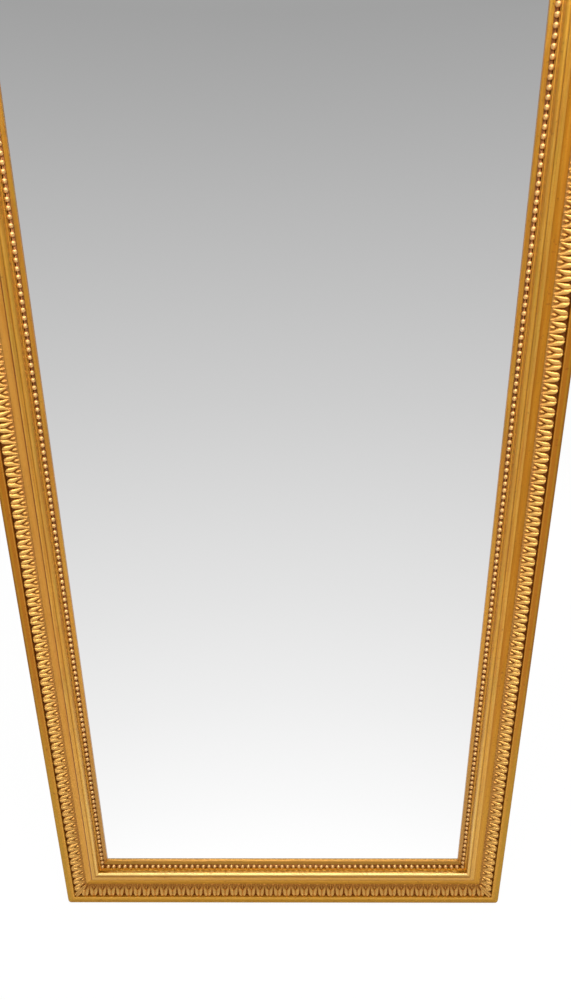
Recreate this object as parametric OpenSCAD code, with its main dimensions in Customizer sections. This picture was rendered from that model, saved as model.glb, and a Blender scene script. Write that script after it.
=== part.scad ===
// Gilded pier mirror. It hangs on a wall with its back on the plane Y = 0 and faces -Y.
// The origin is the middle of the back, on the wall plane. Sizes are in millimetres.

/* [Frame] */
// Width over the gilded frame
frame_w = 1100; // [900:5:1400]
// Height over the gilded frame
frame_h = 2200; // [1700:5:2600]
// Radius of the outer corners, seen from the front
corner_r = 14; // [6:1:16]

/* [Sight moulding] */
// Height of the upright sight edge in front of the glass
lip_h = 3; // [2:0.5:5]
// Width of the plain slope beside the glass
slope_w = 6.5; // [5:0.5:9]
// Rise of the plain slope
slope_rise = 4; // [3:0.5:6]
// Width of the channel that holds the beads
channel_w = 11; // [10.5:0.25:13]
// Depth of the channel's floor below the top of the slope
channel_drop = 1; // [0.5:0.25:2]
// Width of the step between the beads and the ovolo
step_w = 1.5; // [1:0.25:3]
// Height of that step above the channel's floor
step_h = 4.3; // [3:0.1:6]
// Radius of the ovolo
ovolo_r = 8; // [6:0.25:9]
// How far the ovolo stands above the flat fillet
ovolo_proud = 0.6; // [0.3:0.1:1.2]
// Width and depth of the sunk line between the ovolo and the fillet
quirk = 1; // [0.6:0.1:1.5]
// Width of the flat fillet
fillet_w = 10; // [9:0.5:14]
// Height of the flat fillet in front of the glass
fillet_h = 26.5; // [24:0.5:30]

/* [Beads] */
// Diameter of one bead
bead_d = 10; // [8:0.25:10.25]
// Distance from bead to bead that the row aims at
bead_pitch = 14.4; // [12:0.1:20]
// How far each bead is sunk into its strip's bottom face
bead_sink = 2.3; // [1:0.1:3]
// Thickness of the strip that carries the beads
bead_bed = 1.2; // [0.8:0.1:2]
// Width of that strip
bead_bed_w = 8; // [6:0.25:10]

/* [Outer moulding] */
// Width of the hollow between the fillet and the leaves
cove_w = 15.7; // [13:0.1:20]
// Depth of the hollow
cove_sag = 2; // [1:0.25:3]
// Drop from the flat fillet to the hollow's two edges
cove_drop = 2; // [1:0.25:3]
// Width of the leaf band, seen from the front
leaf_w = 30.5; // [27:0.5:36]
// Slope of the ground under the leaves, in degrees
leaf_slope = 11.5; // [9:0.5:14]
// Width of the plain outer band
band_w = 17.5; // [15:0.5:22]
// Rise from the leaf ground to the outer band's inner edge
band_step = 7.4; // [5:0.2:9]
// Rise of the band's top from its inner edge to its rounded outer edge
band_rise = 2.5; // [1:0.25:4]
// Radius of the band's outer edge
band_r = 3.5; // [2:0.25:5]

/* [Leaves] */
// Distance from leaf to leaf that the row aims at
leaf_pitch = 22.4; // [20:0.2:26]
// Open slit between two neighbouring leaves
leaf_slit = 1.6; // [1.2:0.1:2.5]
// Length of a leaf's rounded outer end
leaf_round = 8; // [6:0.5:10]
// Height of a leaf's two swells above the bed
leaf_h = 4.2; // [3:0.1:5]
// Angle at which the two swells part, in degrees
swell_splay = 7; // [4:0.5:9]
// Fall of the swells towards the hollow, in degrees
swell_fall = 5; // [3:0.5:7]
// Height of the small leaf tip between the swells
tip_h = 2.6; // [2:0.1:3.5]
// Half the width of that tip
tip_w = 3; // [2:0.1:4]
// Bare ground at both ends of a leaf
leaf_margin = 0.8; // [0.5:0.1:1.5]
// Thickness of the strip that carries the leaves
leaf_bed = 2.2; // [1.5:0.1:3]

/* [Glass] */
// Thickness of the silvered plate
glass_t = 5.5; // [4:0.5:8]
// How far the plate runs under the sight moulding
glass_lap = 10; // [6:0.5:12]
// Open space around the plate's edge
glass_gap = 3; // [2:0.5:5]
// Length of one glazing block
block_l = 45; // [30:5:60]
// How far a glazing block reaches over the back of the plate
block_lap = 7; // [5:0.5:9]
// Most that two glazing blocks stand apart
block_step = 260; // [150:10:400]

/* [Back frame] */
// Thickness of the pine back frame
back_t = 20; // [16:1:26]
// Clearance between the back frame and the outer moulding's flange
back_fit = 0.15; // [0.1:0.05:0.5]

/* [Panelled back] */
// Thickness of the stiles and rails
board_t = 10; // [9.5:0.5:14]
// How far the panelled back laps over the back frame
board_lap = 17; // [14:1:20]
// Width of the stiles and rails
board_member_w = 80; // [60:5:100]
// Number of panels, an even number so that one rail crosses the middle
panel_count = 4; // [4:2:8]
// Thickness of a panel's edge and of the rails' stub tenons
tongue_t = 4; // [3:0.25:5]
// Depth of the grooves
groove_d = 9; // [7:0.5:12]
// Width of the bevel around a panel
bevel_w = 26; // [15:1:35]
// How far the raised middle of a panel stays behind the stiles' face
panel_recess = 0.5; // [0.5:0.25:2]

/* [Hangers] */
// Distance from the top of the frame down to the hinge axis of the rings
hanger_drop = 420; // [300:10:700]
// Width of the strap
strap_w = 22; // [18:1:23]
// Length of the strap below its barrel
strap_l = 68; // [62:1:90]
// Thickness of the strap
strap_t = 1.5; // [1.2:0.1:2]
// Diameter of the ring's wire
ring_wire = 4; // [3:0.25:4.5]
// Width of the ring, over the middle of its wire
ring_w = 34; // [34:1:40]
// Radius of the ring's two upper bends, over the middle of the wire
ring_bend = 4.5; // [3.5:0.25:5]
// Length of the ring's straight sides
ring_side = 7; // [4:0.5:10]
// Distance from the hinge axis to the first screw of a strap
strap_screw_first = 38; // [36:1:42]
// Distance between the two screws of a strap
strap_screw_gap = 18; // [12:1:20]

/* [Screws] */
// Diameter of the frame screws
screw_d = 5; // [4:0.25:6]
// Length of the frame screws
screw_l = 38; // [32:1:40]
// Distance of the outer row of frame screws from the frame's outer edge
screw_inset = 28; // [26:1:32]
// Distance of the first frame screws from the sight line of the next side
screw_margin = 18; // [15:1:40]
// Most that two frame screws stand apart
screw_step = 420; // [250:10:600]
// Diameter of the small screws
small_screw_d = 3.5; // [3:0.25:4]
// Length of the small screws
small_screw_l = 18; // [14:1:20]
// Most that two screws of the panelled back stand apart
board_screw_step = 300; // [200:10:500]

/* [Mitre tongues] */
// Thickness of the loose tongues in the mitres
key_t = 4; // [3:0.5:6]
// Width of a tongue across the mitre
key_w = 24; // [16:1:26]
// Length of a tongue along the mitre
key_l = 32; // [20:1:34]
// Height of a tongue's middle in front of the back frame
key_rise = 9; // [7:0.5:12]

/* [Clearances] */
// Open joint between the sight moulding and the outer moulding
joint_gap = 0.3; // [0.1:0.05:0.6]
// Radial clearance around a screw
screw_fit = 0.1; // [0.05:0.05:0.2]
// Clearance around a tongue, a stub tenon or a panel's edge
groove_fit = 0.15; // [0.1:0.05:0.3]
// Room at the bottom of a groove for the wood to swell
swell_room = 0.8; // [0.5:0.1:0.9]
// Radial running clearance of a ring in its barrel
ring_fit = 0.08; // [0.04:0.01:0.1]

/* [Hidden] */
$fn = 48;

// The bottom side is modelled. The others are the bottom one turned about Y by quarter turns.
SIDES = ["bottom", "left", "top", "right"];
HANDS = [-1, 1];
quarter_turn = 90;
over = 1;                                       // how far a cutter runs past what it cuts

gold = "#c8923c";
leaf_gold = "#bd8636";
bead_gold = "#dba75a";
pine = "#a9814f";
old_pine = "#8a6538";
oak = "#b4935f";
steel = "#8d8f92";
brass = "#b08d4a";
silver = "#c9ced1";

// Places across the frame's face, measured out from the sight edge
bead_line = slope_w + channel_w / 2;
channel_end = slope_w + channel_w;
ovolo_start = channel_end + step_w;
ovolo_end = ovolo_start + ovolo_r;
slip_w = ovolo_end + quirk + fillet_w;
cove_start = slip_w + joint_gap;
cove_end = cove_start + cove_w;
band_start = cove_end + leaf_w;
face_w = band_start + band_w;
plate_edge = glass_lap;
rebate_edge = glass_lap + glass_gap;
board_edge = rebate_edge + board_lap;
strap_line = (board_edge + band_start) / 2;
slip_screw_line = slip_w - fillet_w / 2;
main_screw_line = face_w - screw_inset;
board_screw_line = rebate_edge + board_lap / 2;

// Heights in front of the wall plane
seat_z = board_t + back_t;                      // front of the glass and of the back frame
slope_z = seat_z + lip_h + slope_rise;
channel_z = slope_z - channel_drop;
fillet_z = seat_z + fillet_h;
cove_z = fillet_z - cove_drop;
ground_z = cove_z + leaf_w * tan(leaf_slope);   // leaf ground at its outer end
band_z = ground_z + band_step + band_rise;      // front of the whole frame
ground_l = leaf_w / cos(leaf_slope);            // the leaf ground, measured along its slope

// Shares that shape a leaf and its ridges
inner_end_share = 0.6;                          // flat part of a leaf's inner end, of its width
tip_start_share = 0.42;                         // where the leaf tip starts, of the ground's length
swell_share = 0.52;                             // width of one swell, of half the leaf's width
shoulder_w_share = 0.6;                         // where a ridge's chamfer starts, of its half width
shoulder_h_share = 0.72;                        // and of its height

// Half sizes of the panelled back
board_x = frame_w / 2 - face_w + board_edge;
board_y = frame_h / 2 - face_w + board_edge;
opening_x = board_x - board_member_w;
opening_h = (2 * board_y - (panel_count + 1) * board_member_w) / panel_count;
rail_step = opening_h + board_member_w;

// Hangers
barrel_r = ring_wire / 2 + ring_fit + strap_t;
strap_x = frame_w / 2 - face_w + strap_line;
hinge_z = frame_h / 2 - hanger_drop;
hinge_y = -board_t + joint_gap + barrel_r;

// Distance of the first glazing blocks' middles from the sight line of the next side
block_margin = 1.5 * block_l;

// How many quarter turns bring the bottom side's work to a side
function turns(side) = search([side], SIDES)[0];
function is_upright(side) = turns(side) % 2 == 1;
// Length of a side over the frame, and its distance from the middle of the frame
function side_length(side) = is_upright(side) ? frame_h : frame_w;
function side_distance(side) = (is_upright(side) ? frame_w : frame_h) / 2;
// Length of a line that runs round the frame, between its two mitres on one side
function line_length(side, out) = side_length(side) - 2 * (face_w - out);
// Evenly spread places on a line, no further apart than a step
function spread(length, step) =
    let (count = ceil(length / step))
    [for (i = [0:count]) -length / 2 + i * length / count];

module on_side(side) {
    rotate([0, turns(side) * quarter_turn, 0]) children();
}

// A place on the bottom side: along it, out from the sight edge, and in front of the wall
module at_point(side, along, out, forward) {
    translate([along, -forward, face_w - side_distance(side) - out]) children();
}

// Runs a section along the bottom side. The section's x is out from the sight edge, its y forward.
module run(side, length, along = 0) {
    at_point(side, along, 0, 0)
        rotate([2 * quarter_turn, quarter_turn, 0])
            linear_extrude(length, center = true)
                children();
}

// The wedge of the frame that one side fills, seen from the front
module mitre_outline(side) {
    half = side_length(side) / 2;
    low = side_distance(side);
    reach = face_w + over;
    polygon([[-half, -low], [half, -low], [half - reach, reach - low], [reach - half, reach - low]]);
}

// Stands a front view up through the whole depth of the frame
module through_depth() {
    translate([0, over, 0])
        rotate([quarter_turn, 0, 0])
            linear_extrude(band_z + 2 * over)
                children();
}

module mitre(side) {
    through_depth() mitre_outline(side);
}

// The whole frame seen from the front, with its rounded corners
module frame_outline(side) {
    half = side_length(side) / 2;
    low = side_distance(side);
    square([2 * half, 2 * (low - corner_r)], center = true);
    square([2 * (half - corner_r), 2 * low], center = true);
    for (hand = HANDS)
        translate([hand * (half - corner_r), corner_r - low]) circle(corner_r);
}

// ---- Screws ----

// A countersunk screw with its head's face at the origin. It points to the front of the frame.
module screw(d, length, fit = 0) {
    head_h = d / 2;
    point_l = d;
    point_r = d / 10;
    rotate([quarter_turn, 0, 0]) {
        cylinder(h = head_h, r1 = d + fit, r2 = d / 2 + fit);
        cylinder(h = length - point_l, r = d / 2 + fit);
        translate([0, 0, length - point_l])
            cylinder(h = point_l + fit, r1 = d / 2 + fit, r2 = point_r + fit);
    }
}

// A row of frame screws along one side, driven in from the back of the back frame
module frame_screw_row(side, line, fit = 0) {
    length = line_length(side, 0) - 2 * screw_margin;
    on_side(side)
        for (along = spread(length, screw_step))
            at_point(side, along, line, board_t)
                screw(screw_d, screw_l, fit);
}

module main_screws_on(side, fit = 0) {
    frame_screw_row(side, main_screw_line, fit);
}

module slip_screws_on(side, fit = 0) {
    frame_screw_row(side, slip_screw_line, fit);
}

// Screws through the edge of the panelled back
module board_screws_on(side, fit = 0) {
    end = is_upright(side) ? board_member_w / 2 : board_member_w * 1.5;
    length = line_length(side, board_edge) - 2 * end;
    on_side(side)
        for (along = spread(length, board_screw_step))
            at_point(side, along, board_screw_line, 0)
                screw(small_screw_d, small_screw_l, fit);
}

// Screws of one hanger strap
module hanger_screws_on(hand, fit = 0) {
    for (drop = [strap_screw_first, strap_screw_first + strap_screw_gap])
        translate([hand * strap_x, strap_t - board_t, hinge_z - drop])
            screw(small_screw_d, small_screw_l, fit);
}

// What is planed off an upper corner of a section to round it, seen from the centre of the rounding
module corner_waste(radius) {
    difference() {
        square(radius + over);
        circle(radius);
    }
}

// ---- Outer moulding: hollow, leaf ground, outer band and the flange that reaches the wall ----

module main_section() {
    cove_r = cove_w * cove_w / (8 * cove_sag) + cove_sag / 2;
    difference() {
        polygon([
            [cove_start, seat_z],
            [cove_start, cove_z],
            [cove_end, cove_z],
            [cove_end, cove_z - leaf_bed],
            [band_start, ground_z - leaf_bed],
            [band_start, ground_z + band_step],
            [face_w - band_r, band_z],
            [face_w, band_z],
            [face_w, 0],
            [band_start, 0],
            [band_start, seat_z]
        ]);
        translate([(cove_start + cove_end) / 2, cove_z - cove_sag + cove_r]) circle(cove_r);
        translate([face_w - band_r, band_z - band_r]) corner_waste(band_r);
    }
}

// The loose tongue in the mitre at the far left end of a side
module mitre_tongue(side, fit = 0) {
    line = (cove_start + band_start) / 2;
    size = [key_l, key_t, key_w];
    on_side(side)
        at_point(side, -line_length(side, line) / 2, line, seat_z + key_rise)
            rotate([0, -quarter_turn / 2, 0])
                cube([for (edge = size) edge + 2 * fit], center = true);
}

module main_rail(side) {
    side_before = SIDES[(turns(side) + len(SIDES) - 1) % len(SIDES)];
    color(gold)
        difference() {
            on_side(side)
                intersection() {
                    run(side, side_length(side)) main_section();
                    through_depth()
                        intersection() {
                            mitre_outline(side);
                            frame_outline(side);
                        }
                }
            main_screws_on(side, screw_fit);
            mitre_tongue(side, groove_fit);
            mitre_tongue(side_before, groove_fit);
        }
}

module mitre_tongues() {
    color(oak)
        for (side = SIDES) mitre_tongue(side);
}

// ---- Sight moulding: sight edge, slope, bead channel, step, ovolo and fillet ----

module slip_section() {
    ovolo_z = fillet_z + ovolo_proud;
    difference() {
        polygon([
            [0, seat_z],
            [0, seat_z + lip_h],
            [slope_w, slope_z],
            [slope_w, channel_z],
            [channel_end, channel_z],
            [channel_end, channel_z + step_h],
            [ovolo_start, channel_z + step_h],
            [ovolo_start, ovolo_z],
            [ovolo_end, ovolo_z],
            [ovolo_end, fillet_z - quirk],
            [ovolo_end + quirk, fillet_z - quirk],
            [ovolo_end + quirk, fillet_z],
            [slip_w, fillet_z],
            [slip_w, seat_z]
        ]);
        translate([ovolo_end, ovolo_z - ovolo_r])
            mirror([1, 0])
                corner_waste(ovolo_r);
    }
}

module sight_slip(side) {
    color(gold)
        difference() {
            on_side(side)
                intersection() {
                    run(side, side_length(side)) slip_section();
                    mitre(side);
                }
            slip_screws_on(side, screw_fit);
        }
}

// ---- Beads: strips of cast beads. The corner beads are on the bottom and top strips. ----

// A round bead that is cut flat where it sits in the channel. The channel's floor is at the origin.
module bead() {
    rotate([quarter_turn, 0, 0])
        rotate_extrude()
            intersection() {
                translate([0, bead_d / 2 - bead_sink]) circle(d = bead_d);
                square(bead_d);
            }
}

module bead_strip(side) {
    length = line_length(side, bead_line);
    count = round(length / bead_pitch);
    pitch = length / count;
    has_corners = !is_upright(side);
    first = has_corners ? 0 : 1;
    corner_reach = bead_bed_w / 2;
    bed_l = has_corners ? length + 2 * corner_reach : length - bead_d - 2 * joint_gap;
    color(bead_gold)
        on_side(side)
            union() {
                run(side, bed_l)
                    translate([bead_line - bead_bed_w / 2, channel_z])
                        square([bead_bed_w, bead_bed]);
                for (i = [first:count - first])
                    at_point(side, i * pitch - length / 2, bead_line, channel_z) bead();
            }
}

// ---- Leaves: strips of cast leaves, each with two swells that part round a small tip ----

// Puts work on the leaf ground: +X runs in from its outer end, +Y along the side, +Z off the ground
module on_ground(side, along) {
    at_point(side, along, band_start, ground_z)
        rotate([quarter_turn, 0, 0])
            rotate([-leaf_slope, 0, 0])
                rotate([0, 0, quarter_turn])
                    children();
}

// A bar along +X with a chamfered ridge, and as deep below its base as it is high
module ridge_bar(length, half_w, height) {
    shoulder_w = half_w * shoulder_w_share;
    shoulder_h = height * shoulder_h_share;
    rotate([quarter_turn, 0, quarter_turn])
        linear_extrude(length)
            polygon([
                [-shoulder_w, -height],
                [shoulder_w, -height],
                [half_w, 0],
                [shoulder_w, shoulder_h],
                [0, height],
                [-shoulder_w, shoulder_h],
                [-half_w, 0]
            ]);
}

// One leaf: a round-ended outline that cuts two swells, and the tip between them
module leaf(pitch) {
    half_w = (pitch - leaf_slit) / 2;
    end_l = ground_l - leaf_margin;
    arch_l = leaf_round / 2;
    round_end = [for (turn = [-90:22.5:90]) [leaf_round * (1 - cos(turn)) + leaf_margin, half_w * sin(turn)]];
    end_half_w = half_w * inner_end_share;
    inner_end = [
        [end_l - arch_l, half_w],
        [end_l, end_half_w],
        [end_l, -end_half_w],
        [end_l - arch_l, -half_w]
    ];
    tip_start = ground_l * tip_start_share;
    intersection() {
        translate([0, 0, -leaf_bed / 2])
            linear_extrude(leaf_bed / 2 + leaf_h + over)
                polygon(concat(round_end, inner_end));
        union() {
            for (hand = HANDS)
                translate([0, hand * half_w / 2, 0])
                    rotate([0, swell_fall, hand * swell_splay])
                        ridge_bar(ground_l + leaf_h, half_w * swell_share, leaf_h);
            translate([tip_start, 0, -tip_h])
                rotate([0, -atan(tip_h / (ground_l - tip_start)), 0])
                    ridge_bar(ground_l - tip_start + tip_h, tip_w, tip_h);
        }
    }
}

module leaf_strip(side) {
    mid_l = line_length(side, (cove_end + band_start) / 2);
    count = round(mid_l / leaf_pitch);
    pitch = mid_l / count;
    middle = (count - 1) / 2;
    inner_z = cove_z + joint_gap * tan(leaf_slope);
    outer_z = ground_z - joint_gap * tan(leaf_slope);
    color(leaf_gold)
        on_side(side)
            union() {
                intersection() {
                    union() {
                        run(side, side_length(side))
                            polygon([
                                [cove_end + joint_gap, inner_z - leaf_bed],
                                [cove_end + joint_gap, inner_z],
                                [band_start - joint_gap, outer_z],
                                [band_start - joint_gap, outer_z - leaf_bed]
                            ]);
                        for (i = [-1, 0, count - 1, count])
                            on_ground(side, (i - middle) * pitch) leaf(pitch);
                    }
                    mitre(side);
                }
                for (i = [1:count - 2])
                    on_ground(side, (i - middle) * pitch) leaf(pitch);
            }
}

// ---- Back frame: pine, halved together at the corners ----

module back_frame(side) {
    outer = band_start - back_fit;
    length = line_length(side, outer);
    lap = outer - rebate_edge;
    lap_z = board_t + back_t / 2;
    color(pine)
        difference() {
            on_side(side)
                difference() {
                    run(side, length)
                        translate([rebate_edge, board_t])
                            square([lap, back_t]);
                    for (hand = HANDS)
                        run(side, lap + over, hand * (length - lap + over) / 2)
                            translate([rebate_edge - over, is_upright(side) ? lap_z : board_t - over])
                                square([lap + 2 * over, back_t / 2 + over]);
                }
            main_screws_on(side, screw_fit);
            slip_screws_on(side, screw_fit);
            board_screws_on(side, screw_fit);
            if (side == "left") hanger_screws_on(-1, screw_fit);
            if (side == "right") hanger_screws_on(1, screw_fit);
        }
}

// ---- Glass ----

module mirror_plate() {
    color(silver)
        translate([0, glass_t / 2 - seat_z, 0])
            cube([line_length("bottom", plate_edge), glass_t, line_length("left", plate_edge)], center = true);
}

// Softwood blocks glued between the plate and the rebate
module glazing_blocks() {
    plate_back = seat_z - glass_t;
    color(old_pine)
        for (side = SIDES)
            on_side(side)
                for (along = spread(line_length(side, 0) - 2 * block_margin, block_step))
                    run(side, block_l, along)
                        polygon([
                            [rebate_edge, seat_z],
                            [plate_edge, seat_z],
                            [plate_edge, plate_back],
                            [plate_edge - block_lap, plate_back],
                            [rebate_edge, board_t + over]
                        ]);
}

// ---- Panelled back: stiles, rails and fielded panels ----

// A groove for the tongues, centred in the thickness. It runs along X and opens towards +Z.
module groove(length) {
    groove_t = tongue_t + 2 * groove_fit;
    translate([-length / 2, -(board_t + groove_t) / 2, -groove_d])
        cube([length, groove_t, groove_d + over]);
}

module board_screw_holes() {
    for (side = SIDES) board_screws_on(side, screw_fit);
}

module board_stile(hand) {
    color(old_pine)
        difference() {
            translate([hand > 0 ? opening_x : -board_x, -board_t, -board_y])
                cube([board_member_w, board_t, 2 * board_y]);
            translate([hand * opening_x, 0, 0])
                rotate([0, -hand * quarter_turn, 0])
                    groove(2 * board_y + 2 * over);
            board_screw_holes();
        }
}

// One rail with its middle at a height. It has a groove above, below or on both edges.
module board_rail(height, above, below) {
    tenon_x = opening_x + groove_d - swell_room;
    difference() {
        union() {
            translate([-opening_x, -board_t, height - board_member_w / 2])
                cube([2 * opening_x, board_t, board_member_w]);
            translate([-tenon_x, -(board_t + tongue_t) / 2, height - board_member_w / 2])
                cube([2 * tenon_x, tongue_t, board_member_w]);
        }
        if (above)
            translate([0, 0, height + board_member_w / 2])
                groove(2 * board_x);
        if (below)
            translate([0, 0, height - board_member_w / 2])
                rotate([0, 2 * quarter_turn, 0])
                    groove(2 * board_x);
    }
}

module board_rail_middle() {
    color(old_pine)
        board_rail(0, true, true);
}

module board_rails_outer() {
    color(old_pine)
        difference() {
            for (hand = HANDS)
                board_rail(hand * (board_y - board_member_w / 2), hand < 0, hand > 0);
            board_screw_holes();
        }
}

module board_rails_inner() {
    color(old_pine)
        for (hand = HANDS)
            for (i = [1:panel_count / 2 - 1])
                board_rail(hand * i * rail_step, true, true);
}

// Section of a panel across one of its two directions: edge, bevel and raised middle
module panel_section(opening) {
    edge = opening / 2 + groove_d - swell_room;
    field = opening / 2 - bevel_w;
    front = (board_t + tongue_t) / 2;
    polygon([
        [-edge, -front],
        [edge, -front],
        [edge, tongue_t - front],
        [opening / 2, tongue_t - front],
        [field, -panel_recess],
        [-field, -panel_recess],
        [-opening / 2, tongue_t - front],
        [-edge, tongue_t - front]
    ]);
}

module board_panels() {
    reach = frame_h;
    color(pine)
        for (i = [0:panel_count - 1])
            translate([0, 0, (i - (panel_count - 1) / 2) * rail_step])
                intersection() {
                    linear_extrude(reach, center = true) panel_section(2 * opening_x);
                    rotate([0, quarter_turn, 0])
                        linear_extrude(reach, center = true) panel_section(opening_h);
                }
}

// ---- Hangers: a strap curled round the bar of a D-shaped ring, on each back frame stile ----

module hanger_strap(hand) {
    color(brass)
        difference() {
            translate([hand * strap_x, 0, hinge_z]) {
                translate([0, strap_t - board_t, 0])
                    rotate([quarter_turn, 0, 0])
                        linear_extrude(strap_t) {
                            translate([-strap_w / 2, strap_w / 2 - strap_l])
                                square([strap_w, strap_l - strap_w / 2]);
                            translate([0, strap_w / 2 - strap_l])
                                circle(d = strap_w);
                        }
                translate([-strap_w / 2, hinge_y, 0])
                    rotate([0, quarter_turn, 0])
                        cylinder(h = strap_w, r = barrel_r);
            }
            translate([hand * strap_x - strap_w, hinge_y, hinge_z])
                rotate([0, quarter_turn, 0])
                    cylinder(h = 2 * strap_w, r = ring_wire / 2 + ring_fit);
            hanger_screws_on(hand, screw_fit);
        }
}

// Wire bent through part of a circle in the plane of the ring
module wire_bend(radius, angle) {
    rotate([quarter_turn, 0, 0])
        rotate_extrude(angle = angle)
            translate([radius, 0]) circle(d = ring_wire);
}

module hanger_ring(hand) {
    bar_half = ring_w / 2 - ring_bend;
    color(brass)
        translate([hand * strap_x, hinge_y, hinge_z]) {
            translate([-bar_half, 0, 0])
                rotate([0, quarter_turn, 0])
                    cylinder(h = 2 * bar_half, d = ring_wire);
            translate([bar_half, 0, -ring_bend]) wire_bend(ring_bend, quarter_turn);
            translate([-bar_half, 0, -ring_bend]) rotate([0, -quarter_turn, 0]) wire_bend(ring_bend, quarter_turn);
            for (side = HANDS)
                translate([side * ring_w / 2, 0, -ring_bend - ring_side])
                    cylinder(h = ring_side, d = ring_wire);
            translate([0, 0, -ring_bend - ring_side])
                rotate([0, 2 * quarter_turn, 0])
                    wire_bend(ring_w / 2, 2 * quarter_turn);
        }
}

// ---- Groups of like screws ----

module frame_screws() {
    color(steel)
        for (side = SIDES) main_screws_on(side);
}

module slip_screws() {
    color(steel)
        for (side = SIDES) slip_screws_on(side);
}

module board_screws() {
    color(steel)
        for (side = SIDES) board_screws_on(side);
}

module hanger_screws() {
    color(brass)
        for (hand = HANDS) hanger_screws_on(hand);
}

main_rail("bottom");  // main_rail_bottom
main_rail("left");  // main_rail_left
main_rail("top");  // main_rail_top
main_rail("right");  // main_rail_right
sight_slip("bottom");  // sight_slip_bottom
sight_slip("left");  // sight_slip_left
sight_slip("top");  // sight_slip_top
sight_slip("right");  // sight_slip_right
bead_strip("bottom");  // bead_strip_bottom
bead_strip("left");  // bead_strip_left
bead_strip("top");  // bead_strip_top
bead_strip("right");  // bead_strip_right
leaf_strip("bottom");  // leaf_strip_bottom
leaf_strip("left");  // leaf_strip_left
leaf_strip("top");  // leaf_strip_top
leaf_strip("right");  // leaf_strip_right
back_frame("bottom");  // back_frame_bottom
back_frame("left");  // back_frame_left
back_frame("top");  // back_frame_top
back_frame("right");  // back_frame_right
mirror_plate();
glazing_blocks();
mitre_tongues();
board_stile(-1);  // board_stile_left
board_stile(1);  // board_stile_right
board_rail_middle();
board_rails_outer();
board_rails_inner();
board_panels();
frame_screws();
slip_screws();
board_screws();
hanger_strap(-1);  // hanger_strap_left
hanger_strap(1);  // hanger_strap_right
hanger_ring(-1);  // hanger_ring_left
hanger_ring(1);  // hanger_ring_right
hanger_screws();
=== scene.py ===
"""Dresses the gilded pier mirror: gilding, beads, leaves, plate, old wood and hardware."""

import math
from types import SimpleNamespace

import bmesh
import bpy
import numpy as np
from mathutils import Matrix, Vector


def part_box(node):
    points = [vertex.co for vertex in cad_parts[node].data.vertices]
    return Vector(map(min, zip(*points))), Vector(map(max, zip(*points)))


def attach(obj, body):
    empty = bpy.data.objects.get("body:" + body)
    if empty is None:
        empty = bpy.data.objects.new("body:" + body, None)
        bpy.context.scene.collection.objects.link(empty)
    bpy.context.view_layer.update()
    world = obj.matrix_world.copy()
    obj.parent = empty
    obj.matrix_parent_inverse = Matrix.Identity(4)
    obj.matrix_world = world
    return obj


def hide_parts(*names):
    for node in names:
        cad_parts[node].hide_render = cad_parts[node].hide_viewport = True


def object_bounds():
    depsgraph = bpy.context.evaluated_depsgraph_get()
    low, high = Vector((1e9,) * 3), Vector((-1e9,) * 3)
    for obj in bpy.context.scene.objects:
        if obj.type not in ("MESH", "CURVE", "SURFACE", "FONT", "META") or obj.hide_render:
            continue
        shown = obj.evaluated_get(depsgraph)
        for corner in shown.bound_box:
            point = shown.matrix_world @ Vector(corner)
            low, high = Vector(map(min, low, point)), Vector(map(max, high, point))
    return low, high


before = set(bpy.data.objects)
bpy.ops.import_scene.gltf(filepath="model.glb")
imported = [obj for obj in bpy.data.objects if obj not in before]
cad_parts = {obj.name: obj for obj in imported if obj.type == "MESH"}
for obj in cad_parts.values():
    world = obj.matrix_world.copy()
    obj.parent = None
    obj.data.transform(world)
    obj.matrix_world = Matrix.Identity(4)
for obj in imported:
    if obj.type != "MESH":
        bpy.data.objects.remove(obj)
CAD_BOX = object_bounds()

bl_info = {
    "name": "Pier Mirror",
    "version": (1, 0, 0),
    "blender": (4, 5, 0),
    "location": "View3D > Sidebar > Pier Mirror",
    "description": "Gilded pier mirror with bead and leaf mouldings on its packed frame",
    "category": "Object",
}

MM = 0.001
SIDES = ("bottom", "left", "top", "right")
CORNERS = (("bottom_left", -1, -1), ("bottom_right", 1, -1), ("top_left", -1, 1), ("top_right", 1, 1))
QUARTER_TURN = math.pi / 2


# ---- Places that come from the frame, in metres ----

# Half the width and half the height over the gilded frame
HALF_W, HALF_H = ((CAD_BOX[1][axis] - CAD_BOX[0][axis]) / 2 for axis in (0, 2))
SLIP_LOW, SLIP_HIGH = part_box("sight_slip_bottom")
BEAD_LOW, BEAD_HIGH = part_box("bead_strip_bottom")
LEAF_LOW, LEAF_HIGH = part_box("leaf_strip_bottom")
RAIL_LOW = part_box("main_rail_bottom")[0]
FACE_W = SLIP_HIGH[2] + HALF_H
BEAD_INSET = (BEAD_LOW[2] + BEAD_HIGH[2]) / 2 + HALF_H
BEAD_D = BEAD_HIGH[2] - BEAD_LOW[2]
LEAF_OUTER = LEAF_LOW[2] + HALF_H
LEAF_INNER = LEAF_HIGH[2] + HALF_H


def side_reach(side):
    """Half the length of a side and its distance from the middle, over the frame."""
    return (HALF_W, HALF_H) if side % 2 == 0 else (HALF_H, HALF_W)


# ---- Properties ----

def metres(name, description, default, least=0.0):
    """A length in metres."""
    return bpy.props.FloatProperty(name=name, description=description, default=default, min=least,
                                   unit="LENGTH")


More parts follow.
